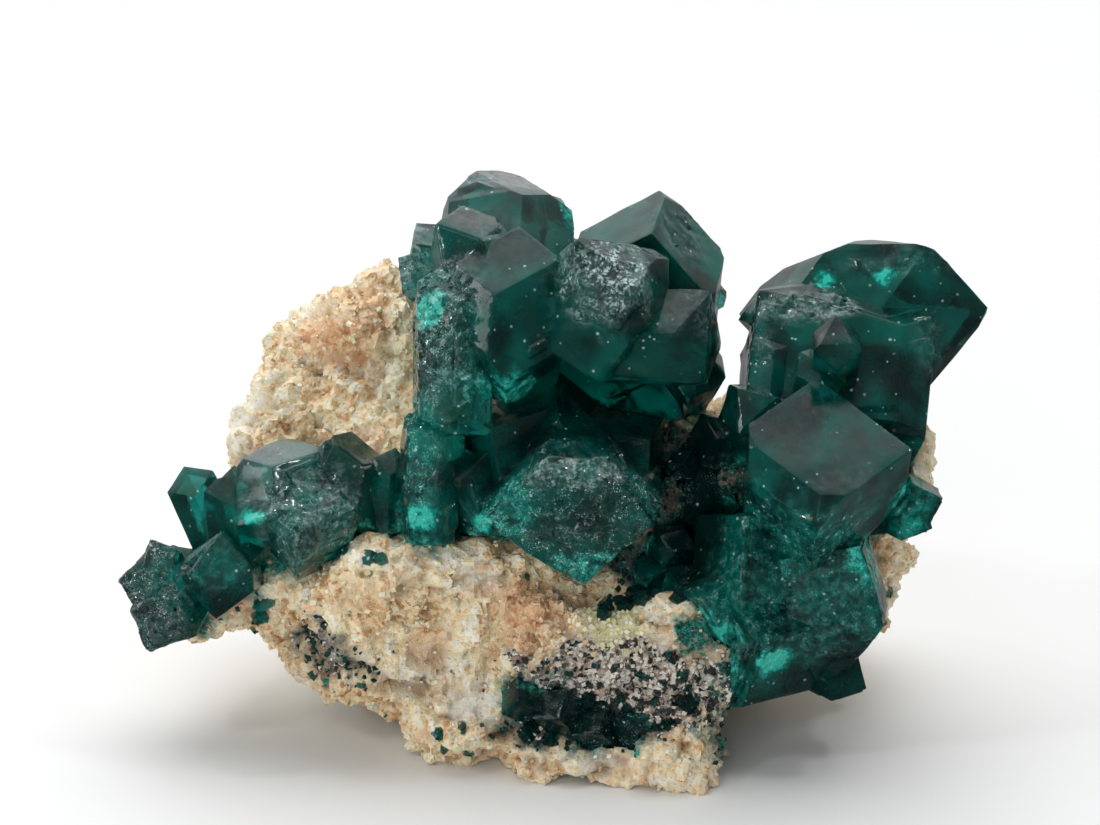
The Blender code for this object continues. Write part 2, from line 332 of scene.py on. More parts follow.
def grownMass(name, settings):
    mass = None
    for number, entry in enumerate(settings["crystals"]):
        c = dict(entry)
        c["apex"], c["along"] = seen(entry["tip"]), heading(entry["axis"])
        front = near - c["along"] * near.dot(c["along"])
        if front.length < 0.05:
            front = up - c["along"] * up.dot(c["along"])
        c["front"] = front.normalized()
        c["seed"] = settings["seed"] * 100 + number
        c.setdefault("kids", int(c["half"] * settings["kidsPerHalf"]))
        whole = wholeCrystal(name, c, settings)
        mass = joined(mass, whole) if mass else whole
    bm = usedUp(mass)
    onlyOuterSkin(bm)
    return bm


def onlyOuterSkin(bm):  # keeps the largest connected skin and drops the shut-in ones
    left, pieces = set(bm.verts), []
    while left:
        todo = [left.pop()]
        piece = list(todo)
        while todo:
            for edge in todo.pop().link_edges:
                for vert in edge.verts:
                    if vert in left:
                        left.discard(vert)
                        todo.append(vert)
                        piece.append(vert)
        pieces.append(piece)
    pieces.sort(key=len)
    bmesh.ops.delete(bm, geom=[v for piece in pieces[:-1] for v in piece], context="VERTS")


# where the faces are etched, milky or dusted white, where painted glow brightens thin edges to
# teal, and where painted shade blackens the crystals
gemZones = [
    # the dull face, the rough column and the foot of the upright crystal
    dict(at=(2.5, 6.05, 4.4), size=(2.1, 2.3, 1.9), etched=0.35, dusty=1.0, milky=0.12),
    dict(at=(-5.2, 3.6, 4.0), size=(2.1, 4.0, 2.0), etched=1.0, milky=0.12, dusty=0.18, sheen=1.0),
    dict(at=(-5.5, 4.85, 4.3), size=(0.8, 0.9, 1.2), milky=0.9),
    dict(at=(-6.1, -2.0, 4.6), size=(1.0, 3.0, 1.6), etched=0.8, milky=0.22, sheen=0.5),
    dict(at=(-1.6, 1.0, 4.6), size=(2.6, 0.9, 1.6), milky=0.6, etched=0.2),
    dict(at=(-6.1, -4.9, 5.0), size=(0.9, 0.7, 2.5), milky=1.0, etched=0.6),
    dict(at=(-3.2, -5.2, 5.0), size=(0.5, 0.5, 2.5), milky=1.0, etched=0.6),
    dict(at=(-1.7, 7.4, 4.0), size=(2.6, 2.0, 2.4), sheen=0.9),
    # the broad crystal's upper edge, face and tip
    dict(at=(1.2, -4.6, 5.6), size=(5.0, 3.0, 3.0), etched=0.95, milky=0.06, sheen=0.5),
    dict(at=(1.0, -2.7, 7.2), size=(3.8, 0.8, 1.8), etched=1.0, milky=0.1, dusty=0.55, sheen=1.0),
    # painted glow: bright teal where light comes through the thin foot of the broad crystal
    dict(at=(1.9, -7.6, 4.5), size=(2.4, 1.0, 3.0), milky=0.45, etched=0.15),
    dict(at=(-2.1, -4.4, 5.5), size=(1.2, 1.8, 2.0), milky=0.35, etched=0.3),
    # the skyline crystals and the small ones beside them
    # painted glow: bright teal where light comes through the thin edges of the skyline crystals
    dict(at=(0.9, 9.5, -3.0), size=(0.5, 1.5, 2.4), milky=0.8),
    dict(at=(-3.4, 9.9, -2.6), size=(1.2, 0.9, 1.6), milky=0.4),
    dict(at=(-2.1, 11.2, -3.5), size=(3.2, 0.6, 3.0), sheen=0.7, etched=0.3),
    dict(at=(-3.5, 9.1, 1.0), size=(1.8, 0.9, 2.0), sheen=0.8),
    dict(at=(-6.7, 7.0, 0.8), size=(1.4, 2.3, 2.0), etched=0.5, milky=0.15, dusty=0.3, sheen=0.8),
    dict(at=(7.1, 8.9, 1.0), size=(1.8, 1.9, 3.0), sheen=0.2, etched=0.55),
    dict(at=(6.4, 4.6, 3.0), size=(1.9, 1.2, 3.0), sheen=1.0, dusty=0.25),
    dict(at=(3.4, 1.8, 4.5), size=(1.2, 0.6, 2.5), sheen=1.0),
    # painted shade: the crystals deep in the gaps above the broad one turn near black
    dict(at=(2.4, -0.9, 3.5), size=(4.5, 1.6, 2.5), dark=0.6),
    # the right group
    dict(at=(12.2, 5.0, 1.6), size=(2.3, 0.8, 2.2), etched=1.0, dusty=0.45, sheen=1.0),
    dict(at=(16.0, 6.5, -0.5), size=(0.5, 0.4, 2.5), milky=0.9),
    dict(at=(13.1, 6.4, -0.5), size=(0.5, 0.4, 2.5), milky=0.8),
    dict(at=(13.7, 3.5, 6.0), size=(1.2, 0.9, 1.5), sheen=1.0),
    dict(at=(18.1, 3.4, 1.0), size=(1.0, 1.7, 3.0), sheen=0.9, etched=0.6),
    dict(at=(17.6, 7.2, 0.0), size=(3.4, 0.7, 3.0), sheen=0.6, etched=0.4, milky=0.1),
    dict(at=(19.6, 4.6, 0.5), size=(1.2, 2.2, 2.5), sheen=0.45),
    # painted shade in the gap between the right crystals
    dict(at=(14.6, 2.4, 3.5), size=(2.6, 1.0, 2.0), dark=0.55),
    dict(at=(9.9, 3.6, 2.0), size=(0.8, 1.6, 2.5), sheen=0.8, etched=0.5),
    dict(at=(13.6, -0.9, 7.0), size=(4.2, 1.7, 3.0), sheen=0.6),
    dict(at=(13.9, -3.5, 7.5), size=(2.0, 1.2, 2.5), sheen=0.5, etched=0.25),
    dict(at=(8.8, 0.6, 5.0), size=(1.3, 1.5, 2.5), sheen=1.0),
    # painted glow: bright teal where light comes through the thin right edge
    dict(at=(16.9, -4.0, 2.6), size=(1.5, 2.2, 2.5), milky=0.4, etched=0.2),
    dict(at=(11.6, -8.3, 6.0), size=(5.6, 4.6, 5.0), milky=0.18, etched=0.5),
    dict(at=(7.5, -10.3, 6.0), size=(1.5, 0.7, 2.5), milky=1.0, etched=0.7),
    dict(at=(10.6, -11.8, 5.0), size=(0.9, 0.9, 2.5), milky=1.0, etched=0.7),
    # painted glow: bright teal where light comes through the thin right edge
    dict(at=(15.2, -7.0, 4.0), size=(1.4, 1.3, 2.5), milky=0.6),
    # painted shade deep in the cleft, and low under the right group
    dict(at=(6.9, -3.2, 1.0), size=(1.7, 6.0, 4.0), dark=1.0),
    dict(at=(14.0, -12.4, 2.0), size=(1.6, 1.6, 4.0), dark=0.7),
    # the left group
    dict(at=(-11.0, -4.9, 3.6), size=(2.6, 2.8, 2.6), etched=0.7, milky=0.12, dusty=0.2, sheen=0.5),
    dict(at=(-14.0, -4.9, 3.0), size=(0.8, 0.4, 1.8), milky=0.9),
    # the next two are darker, in part their own dark colour and in part painted shade
    dict(at=(-16.2, -7.0, 2.6), size=(1.6, 1.4, 2.0), milky=0.20, etched=0.2, dark=0.3),
    dict(at=(-19.4, -8.6, 1.0), size=(2.4, 3.6, 3.0), etched=0.9, dusty=0.15, sheen=0.9, dark=0.5),
    dict(at=(-12.9, -2.0, 1.0), size=(2.4, 1.2, 3.0), sheen=1.0),
    dict(at=(-8.1, -2.5, 1.5), size=(1.2, 1.0, 2.0), sheen=0.8),
    # painted shade in the gap among the left crystals
    dict(at=(-9.6, -2.2, 1.5), size=(1.6, 1.8, 3.0), dark=0.7),
    # the lower crystals, blackened with painted shade and in part their own dark colour
    dict(at=(1.5, -14.4, 4.0), size=(4.5, 2.2, 5.0), dark=1.0, etched=0.2),
]
# the last quality blackens the crystals: painted shade where they lie deep in gaps and clefts, and
# in part their own dark colour
gemQualities = ("etched", "milky", "dusty", "sheen", "dark")
gemSkin = {
    "longest": 0.5,  # edges, millimetres
    "longestEtched": 0.27,
    "sharpAngle": math.radians(32.0),
    "facets": ((1.0, 0.24), (2.1, 0.16)),  # (per millimetre, height) of the etched relief
    "swell": ((0.35, 0.05), (1.1, 0.02)),  # of the slow waves on every face
    "ragged": ((0.9, 0.35), (2.7, 0.22)),  # of the zones' edges
    "crust": 0.9,  # how near the rock the faces turn rough and milky
    "crustRagged": 1.4,
    "crustShare": 0.8,
    "farthest": 3.0,
}


def waves(place, layers):  # slow noise in layers of (per millimetre, height)
    return sum(noise.noise(place * perMm) * height for perMm, height in layers)


def facetPush(place, perMm, height):  # each cell is one small tilted face
    _, cells = noise.voronoi(place * perMm)
    tilt = noise.noise_vector(cells[0] * 5.3)
    return height * (noise.noise(cells[0] * 3.1) * 0.7 + (place * perMm - cells[0]).dot(tilt) * 0.9)


def facetPushes(place, layers):
    return sum(facetPush(place, perMm, height) for perMm, height in layers)


def finerFaces(bm, longest, onlyEtched=False):
    bmesh.ops.triangulate(bm, faces=bm.faces)
    for _ in range(6):
        tooLong = [e for e in bm.edges if e.calc_length() > longest]
        if onlyEtched and tooLong:
            places = np.array([(e.verts[0].co + e.verts[1].co) / 2 for e in tooLong])
            shares = zoneShare(places, gemZones, "etched", 0.1)
            tooLong = [e for e, share in zip(tooLong, shares) if share > 0.2]
        if not tooLong:
            break
        bmesh.ops.subdivide_edges(bm, edges=tooLong, cuts=1)
        bmesh.ops.triangulate(bm, faces=[f for f in bm.faces if len(f.verts) > 3])


rockTree = treeOf(cadNode("matrix_rock"))


def finishedMass(name, settings, material):
    bm = grownMass(name, settings)
    openEdges = sum(len(e.link_faces) != 2 for e in bm.edges)  # before the faces are made finer
    finerFaces(bm, gemSkin["longest"])
    finerFaces(bm, gemSkin["longestEtched"], onlyEtched=True)
    bm.normal_update()
    places = np.array([v.co for v in bm.verts])
    ragged = np.array([waves(v.co, gemSkin["ragged"]) for v in bm.verts])
    shares = {quality: zoneShare(places, gemZones, quality, ragged) for quality in gemQualities}
    far, reach = gemSkin["farthest"], gemSkin["crust"]
    gaps = np.array([rockTree.find_nearest(v.co, far)[3] or far for v in bm.verts])
    crust = np.clip((reach - gaps) / reach + ragged * gemSkin["crustRagged"], 0.0, 1.0)
    for quality in ("milky", "etched"):
        shares[quality] = np.maximum(shares[quality], crust * gemSkin["crustShare"])
    for vert, etched in zip(bm.verts, shares["etched"]):
        push = waves(vert.co, gemSkin["swell"])
        if etched > 0.02:
            push += float(etched) * facetPushes(vert.co, gemSkin["facets"])
        vert.co += vert.normal * push
    obj = skinned(name, bm, shares, gemSkin["sharpAngle"])
    weighted = obj.modifiers.new("flat faces stay flat", "WEIGHTED_NORMAL")
    weighted.keep_sharp = True
    weighted.weight = 100
    obj.data.materials.append(material)
    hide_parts(settings["node"])
    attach(obj, "root")
    print(name, "faces", len(obj.data.polygons), "open edges", openEdges)
    return obj


centralMass = {
    "node": "central_crystals", "seed": 1, "kidsPerHalf": 1.3, "steps": 0.25,
    "crystals": [
        # the pair at the back that makes the skyline
        dict(tip=(-2.15, 11.8, -5.0), axis=(0.03, 0.80, -0.60), half=3.1, length=9.5, twist=14,
             worn=4.2),
        dict(tip=(4.4, 8.85, 2.2), axis=(-0.03, 0.37, 0.93), half=3.4, length=9.5, twist=-15,
             sides=(1.1, 1.1, 0.88, 0.8, 1, 1), worn=3.0, plates=0.0),
        # the upright one in front, and the rough column to its left
        dict(tip=(-1.47, 8.75, 2.4), axis=(0.06, 0.99, -0.04), half=2.8, length=8.9, twist=-4,
             foot=True, sides=(0.75, 0.8, 1, 1, 0.95, 1), plates=0.0),
        dict(tip=(-4.6, 7.33, 2.6), axis=(0.0, 0.98, -0.10), half=1.75, length=8.5, twist=10,
             worn=2.0, kids=12),
        # the blunt one with the dull face, and the block to its right
        dict(tip=(2.55, 9.6, 2.3), axis=(0.02, 0.97, -0.20), half=2.7, length=8.7, twist=30,
             foot=True, blunt=1.9, worn=2.4, plates=0.1),
        dict(tip=(9.3, 3.4, 2.8), axis=(0.97, -0.03, 0.20), half=2.2, length=7.0, twist=-4,
             blunt=1.7),
        # the small ones at the upper left
        dict(tip=(-4.15, 9.95, 0.6), axis=(-0.15, 0.93, -0.30), half=1.9, length=6.0, twist=20),
        dict(tip=(-7.33, 7.33, 0.0), axis=(-0.75, 0.60, 0.0), half=1.3, length=5.0, twist=15),
        dict(tip=(-6.4, 9.07, -0.8), axis=(-0.50, 0.85, -0.10), half=1.5, length=5.5, twist=40),
        dict(tip=(-6.4, 6.8, 1.6), axis=(-0.30, 0.60, 0.70), half=0.8, length=3.2),
        # the broad one that leans out at the bottom
        dict(tip=(1.40, -8.25, 3.5), axis=(0.05, -0.98, 0.15), half=4.5, length=9.5, foot=True,
             cuts=[((0.9, -2.3, 7.0), (0.10, 0.90, 0.43))], worn=3.6, plates=0.1),
        # those that fill the hollow above it
        dict(tip=(-5.5, 0.94, 3.4), axis=(0.0, 0.97, 0.10), half=1.55, length=7.0, twist=15,
             worn=1.8, kids=7),
        dict(tip=(0.5, -0.9, 4.4), axis=(0.10, 0.30, 0.95), half=3.6, length=9.0, twist=20),
        dict(tip=(4.7, -1.3, 3.4), axis=(0.50, 0.30, 0.80), half=2.5, length=8.0, twist=10),
        dict(tip=(-2.8, -0.8, 4.2), axis=(-0.30, 0.40, 0.85), half=2.4, length=8.0, twist=30),
        dict(tip=(-4.4, -3.2, 4.6), axis=(-0.30, 0.10, 0.95), half=2.4, length=8.0, twist=10),
        dict(tip=(0.4, 3.6, 1.0), axis=(0.0, 0.35, 0.93), half=4.4, length=9.0, twist=25),
        dict(tip=(4.6, 2.4, 0.2), axis=(0.10, 0.20, 0.95), half=2.6, length=7.0, twist=12),
        dict(tip=(7.3, 3.2, -0.6), axis=(0.25, 0.45, 0.85), half=1.5, length=7.0, twist=20),
        # the backs of the skyline crystals
        dict(tip=(-0.6, 7.4, -8.0), axis=(-0.10, 0.35, -0.93), half=2.6, length=8.0, twist=15),
        dict(tip=(4.4, 7.2, -6.4), axis=(0.20, 0.50, -0.80), half=2.7, length=8.0, twist=35),
    ],
}

rightMass = {
    "node": "right_crystals", "seed": 2, "kidsPerHalf": 1.3, "steps": 0.25,
    "crystals": [
        # the large one at the back, lying to the right
        dict(tip=(21.2, 4.8, -1.5), axis=(0.96, 0.0, 0.28), half=3.5, length=12.5, twist=8,
             foot=True, worn=1.8, plates=0.0,
             cuts=[((11.2, 7.3, -2.0), (-0.47, 0.85, -0.15)),
                   ((20.9, 4.8, -1.5), (0.90, -0.40, 0.20))]),
        # the broad one in the middle, with a small one on it
        dict(tip=(14.2, 7.2, -2.8), axis=(0.12, 0.90, -0.38), half=4.3, length=9.5, twist=5,
             worn=2.2, cuts=[((12.4, 1.6, 3.4), (0.0, 0.39, 0.92))]),
        dict(tip=(13.3, 3.8, 6.2), axis=(0.0, 0.45, 0.90), half=1.1, length=4.5, blunt=0.5),
        # the shield-shaped one in front
        dict(tip=(12.4, 1.6, 4.2), axis=(0.03, 1.0, 0.0), half=4.4, length=9.5, foot=True,
             sides=(1.3, 1.5, 1.15, 0.85, 0.72, 0.85), plates=0.0, kids=3, worn=0.6,
             cuts=[((12.4, -2.4, 8.7), (0.05, -0.06, 1.0))]),
        # those deep in the cleft, and the small one at its edge
        dict(tip=(7.9, -1.2, 0.8), axis=(-0.05, 0.30, 0.95), half=1.5, length=6.0, twist=15),
        dict(tip=(7.5, -4.0, 1.6), axis=(0.05, 0.10, 0.97), half=1.4, length=5.0, twist=40),
        dict(tip=(9.4, 0.6, -1.0), axis=(-0.05, 0.60, 0.80), half=1.3, length=5.5, twist=30),
        dict(tip=(10.8, 4.8, -2.4), axis=(-0.10, 0.80, 0.50), half=1.6, length=7.0, twist=20),
        dict(tip=(9.2, 0.65, 4.5), axis=(-0.15, 0.35, 0.92), half=1.3, length=7.0, twist=20,
             blunt=0.8),
        # the small ones that floor the cleft
        dict(tip=(6.35, -2.4, 1.5), axis=(0.05, 0.10, 0.99), half=0.7, length=4.0),
        dict(tip=(5.6, -6.6, 2.3), axis=(-0.10, -0.10, 0.99), half=1.1, length=5.0, twist=20),
        dict(tip=(4.5, -7.9, 1.9), axis=(-0.25, -0.20, 0.95), half=0.9, length=4.5, twist=45),
        dict(tip=(6.4, -8.4, 2.8), axis=(0.10, -0.15, 0.98), half=1.0, length=5.0, twist=5),
        # the crust of stout crystals under them
        dict(tip=(9.1, -4.8, 4.8), axis=(-0.15, 0.65, 0.74), half=2.9, length=8.0, twist=40),
        dict(tip=(14.4, -6.2, 4.8), axis=(0.35, 0.55, 0.75), half=3.0, length=8.0),
        dict(tip=(9.7, -10.6, 5.3), axis=(-0.10, -0.10, 0.98), half=3.4, length=8.0, twist=25),
        dict(tip=(13.5, -10.6, 3.8), axis=(0.40, -0.35, 0.85), half=2.6, length=7.0, twist=50),
        dict(tip=(7.2, -8.7, 4.8), axis=(-0.40, 0.10, 0.90), half=1.8, length=5.0),
        dict(tip=(18.6, -4.15, 1.5), axis=(0.85, 0.10, 0.50), half=1.3, length=5.0, twist=20),
        dict(tip=(18.1, -5.5, 1.4), axis=(0.80, -0.40, 0.40), half=1.2, length=5.0),
        dict(tip=(15.0, -13.1, 1.0), axis=(0.75, -0.40, 0.50), half=1.3, length=5.0),
    ],
}

leftMass = {
    "node": "left_crystals", "seed": 3, "kidsPerHalf": 1.3, "steps": 0.25,
    "crystals": [
        dict(tip=(-12.6, -1.15, -0.5), axis=(-0.05, 0.85, -0.50), half=2.3, length=5.5, worn=2.5),
        dict(tip=(-9.45, -0.86, -0.5), axis=(0.15, 0.85, -0.40), half=1.9, length=5.0, twist=30),
        dict(tip=(-14.95, -2.2, 0.5), axis=(-0.10, 0.95, 0.10), half=1.75, length=6.0, twist=10,
             foot=True),
        dict(tip=(-15.5, -5.6, 2.4), axis=(0.0, 0.75, 0.60), half=1.75, length=5.0, twist=-10,
             foot=True),
        dict(tip=(-10.9, -2.2, 2.4), axis=(0.15, 0.85, 0.10), half=2.3, length=6.0, foot=True,
             worn=3.0, kids=8),
        dict(tip=(-7.3, -1.65, 1.5), axis=(0.20, 0.90, 0.10), half=0.9, length=4.0),
        dict(tip=(-7.65, -4.1, 2.0), axis=(0.10, 0.50, 0.80), half=1.2, length=4.0),
        dict(tip=(-17.6, -2.6, -2.0), axis=(-0.40, 0.85, -0.10), half=1.2, length=5.0),
        # the cluster at the far left end
        dict(tip=(-20.6, -7.5, 0.5), axis=(-0.80, 0.30, 0.40), half=1.55, length=4.5, twist=20,
             worn=3.0, kids=6),
        dict(tip=(-19.0, -6.0, 0.5), axis=(-0.30, 0.85, 0.30), half=1.2, length=4.0,
             worn=3.0, kids=5),
        dict(tip=(-19.0, -11.3, 1.0), axis=(-0.35, -0.75, 0.50), half=1.7, length=5.0,
             worn=3.0, kids=6),
    ],
}

lowerMass = {
    "node": "lower_crystals", "seed": 4, "kidsPerHalf": 1.5, "steps": 0.2,
    "crystals": [
        dict(tip=(-1.5, -13.6, 4.0), axis=(-0.20, -0.10, 0.97), half=1.0, length=4.0, twist=10),
        dict(tip=(0.4, -14.3, 4.2), axis=(0.0, -0.20, 0.97), half=1.1, length=4.0, twist=40),
        dict(tip=(2.3, -14.9, 4.0), axis=(0.10, -0.10, 0.97), half=1.1, length=4.0),
        dict(tip=(4.1, -15.0, 3.8), axis=(0.20, 0.0, 0.97), half=1.0, length=4.0, twist=25),
    ],
}


# materials
class Field:  # an output socket that can be calculated with
    def __init__(self, graph, socket):
        self.graph, self.socket = graph, socket

    def maths(self, operation, first, second, clamp=False):
        settings = {"operation": operation, "use_clamp": clamp}
        return self.graph.add("ShaderNodeMath", settings, {0: first, 1: second})

    def __add__(self, other):
        return self.maths("ADD", self, other)

    def __sub__(self, other):
        return self.maths("SUBTRACT", self, other)

    def __rsub__(self, other):
        return self.maths("SUBTRACT", other, self)

    def __mul__(self, other):
        return self.maths("MULTIPLY", self, other)

    __radd__, __rmul__ = __add__, __mul__

    def clamped(self):
        return self.maths("ADD", self, 0.0, clamp=True)

    def orMore(self, other):
        return self.maths("MAXIMUM", self, other)


class Graph:  # the nodes of one material
    def __init__(self, name, kind=None):
        self.material = (bpy.data.materials if kind is None else kind).new(name)
        self.material.use_nodes = True
        self.tree = self.material.node_tree
        self.tree.nodes.clear()
        self.outputKind = "ShaderNodeOutputMaterial" if kind is None else "ShaderNodeOutputWorld"
        self.place = self.add("ShaderNodeVectorMath", {"operation": "SCALE"}, {
            0: self.add("ShaderNodeTexCoord", output="Object"), "Scale": 1 / mm})

    def add(self, kind, settings=None, values=None, output=0):
        node = self.tree.nodes.new(kind)
        for name, value in (settings or {}).items():
            if name == "stops":
                ramp = node.color_ramp
                while len(ramp.elements) < len(value):
                    ramp.elements.new(0.5)
                for element, (position, colour) in zip(ramp.elements, value):
                    element.position, element.color = position, (*colour, 1.0)
            else:
                setattr(node, name, value)
        for key, value in (values or {}).items():
            if isinstance(value, Field):
                self.tree.links.new(value.socket, node.inputs[key])
            else:
                node.inputs[key].default_value = value
        return Field(self, node.outputs[output])

    def noise(self, perMm, detail=3.0, roughness=0.5):
        return self.add("ShaderNodeTexNoise", {}, {
            "Vector": self.place, "Scale": perMm, "Detail": detail, "Roughness": roughness}, "Fac")

    def cells(self, perMm, output="Distance"):
        return self.add("ShaderNodeTexVoronoi", {}, {
            "Vector": self.place, "Scale": perMm}, output)

    def mix(self, share, first, second):
        return self.add("ShaderNodeMix", {"data_type": "RGBA"}, {0: share, 6: first, 7: second}, 2)

    def ramp(self, value, *stops):
        return self.add("ShaderNodeValToRGB", {"stops": stops}, {0: value})

    def share(self, name):  # one of the piece's own attributes
        return self.add("ShaderNodeAttribute", {"attribute_name": name}, {}, "Fac")

    def bump(self, height, depth, strength=1.0):  # depth in millimetres
        return self.add("ShaderNodeBump", {}, {
            "Strength": strength, "Distance": depth * mm, "Height": height})

    def principled(self, values):
        return self.add("ShaderNodeBsdfPrincipled", {}, values)

    def finish(self, surface, volume=None):
        out = self.tree.nodes.new(self.outputKind)
        self.tree.links.new(surface.socket, out.inputs["Surface"])
        if volume is not None:
            self.tree.links.new(volume.socket, out.inputs["Volume"])
        return self.material


gemFinish = {
    "tint": (0.75, 0.98, 0.96, 1.0),
    "ior": 1.66,
    "gloss": 0.12,
    "absorbed": (0.0, 0.80, 0.775, 1.0),
    "density": 1500.0,
    "deep": (0.001, 0.040, 0.036, 1.0),
    "emerald": (0.002, 0.145, 0.118, 1.0),
    # near black for the painted shade in gaps and clefts, and for the darkest crystals
    "darkAndShadeBlack": (0.001, 0.012, 0.011, 1.0),
    "teal": (0.008, 0.270, 0.220, 1.0),
    # the bright teal of painted glow through thin edges, also of the most turbid spots
    "milkyAndGlowTurquoise": (0.030, 0.50, 0.40, 1.0),
    "frost": (0.50, 0.64, 0.62, 1.0),
    "bumpDepth": 0.03,
    "coatRoughness": 0.05,
    "speckSize": 0.29,
    "specksPerMm": 1.9,
    "cloudiness": 0.38,  # how much of a plain face is turbid, and how much that varies
    "cloudSpread": 0.90,
}


def gemMaterial():
    g = Graph("dioptaseCrystal")
    etched, milky, dusty = g.share("etched"), g.share("milky"), g.share("dusty")
    sheen, dark = g.share("sheen"), g.share("dark")
    fine, finest = g.noise(6.0, 3.0, 0.7), g.noise(15.0, 1.5, 0.6)
    broad = g.noise(0.6, 1.5)
    mottled = g.noise(2.2, 3.0, 0.65)
    lines = g.add("ShaderNodeTexNoise", {}, {
        "Vector": g.add("ShaderNodeMapping", {}, {"Vector": g.place, "Scale": (6.0, 6.0, 0.8)}),
        "Scale": 1.0, "Detail": 1.0})
    height = fine * (0.25 + 1.2 * etched) + lines * 0.3
    bump = g.bump(height, gemFinish["bumpDepth"], 0.55)
    specks = gemFinish["speckSize"] * mottled - g.cells(gemFinish["specksPerMm"])
    specks = (specks * 30.0).clamped() * ((broad - 0.44) * 9.0).clamped()
    sugar = ((finest - 0.58) * 16.0).clamped() * ((mottled - 0.45) * 8.0).clamped() * etched
    powder = dusty * (0.25 + ((mottled - 0.42) * 7.0).clamped()) * ((fine - 0.45) * 9.0).clamped()
    white = (specks * 0.75).orMore(sugar).orMore(powder * 0.9).clamped()
    rough = (0.05 + 0.09 * mottled + 0.08 * etched + 0.30 * dusty).clamped()
    shine = (0.08 + 0.9 * sheen + 0.5 * etched - 0.3 * dark) * (0.8 * fine + 1.6 * mottled - 0.2)
    # this share is turbid crystal and also painted glow: bright teal where light comes through thin
    # edges
    milky = (milky * 1.3 + (mottled - 0.5) * 3.0 * (milky * 3.0).clamped() - 0.08).clamped()
    cloudy = gemFinish["cloudiness"] + gemFinish["cloudSpread"] * (broad - 0.5)
    cloudy = (cloudy + 0.9 * milky + 0.25 * etched).clamped()
    teal = (milky * 1.0 + (fine - 0.5) * (0.3 + milky + etched)).clamped()
    depth = ((g.noise(0.45, 1.0) - 0.5) * 4.0 + 0.5 + (mottled - 0.5) * 0.8).clamped()
    body = g.mix(depth, gemFinish["deep"], gemFinish["emerald"])
    body = g.mix(teal, body, gemFinish["teal"])
    body = g.mix(((milky - 0.75) * 4.0).clamped(), body, gemFinish["milkyAndGlowTurquoise"])
    # painted shade: faces in gaps and clefts turn near black and turbid, in part the crystals' own
    # dark colour
    body = g.mix((dark * 0.95).clamped(), body, gemFinish["darkAndShadeBlack"])
    body = g.mix(white, body, gemFinish["frost"])
    common = {
        "IOR": gemFinish["ior"], "Specular IOR Level": gemFinish["gloss"], "Normal": bump,
        "Coat Weight": shine.clamped(), "Coat Roughness": gemFinish["coatRoughness"]}
    clear = g.principled({
        **common, "Base Color": gemFinish["tint"], "Roughness": rough, "Transmission Weight": 1.0})
    turbid = g.principled({**common, "Base Color": body, "Roughness": rough + 0.05})
    surface = g.add("ShaderNodeMixShader", {}, {
        0: cloudy.orMore(white).orMore(dark * 0.85), 1: clear, 2: turbid})
    volume = g.add("ShaderNodeVolumeAbsorption", {}, {
        "Color": gemFinish["absorbed"], "Density": gemFinish["density"]})
    return g.finish(surface, volume)


rockTones = {
    "stops": (
        (0.20, (0.38, 0.20, 0.09)), (0.36, (0.79, 0.50, 0.27)), (0.50, (0.96, 0.77, 0.48)),
        (0.66, (0.97, 0.88, 0.61)), (0.86, (0.98, 0.96, 0.84)),
    ),
    "druseStops": (
        (0.32, (0.02, 0.03, 0.03)), (0.41, (0.20, 0.18, 0.16)), (0.50, (0.52, 0.32, 0.25)),
        (0.58, (0.66, 0.60, 0.50)), (0.68, (0.92, 0.90, 0.84)),
    ),
    "rust": (0.76, 0.42, 0.22, 1.0),
    "lime": (0.66, 0.63, 0.34, 1.0),
    # near black: real dark stains, and painted shade in the cleft and under the overhangs
    "stain": (0.035, 0.034, 0.040, 1.0),
    "teal": (0.012, 0.34, 0.26, 1.0),
    "deepTeal": (0.003, 0.060, 0.050, 1.0),
    "pale": (0.88, 0.86, 0.78, 1.0),
    # brown for random pits, and for painted shade in the hollows of the relief
    "pitAndShade": (0.24, 0.13, 0.07, 1.0),
    "bumpDepth": 0.13,
}


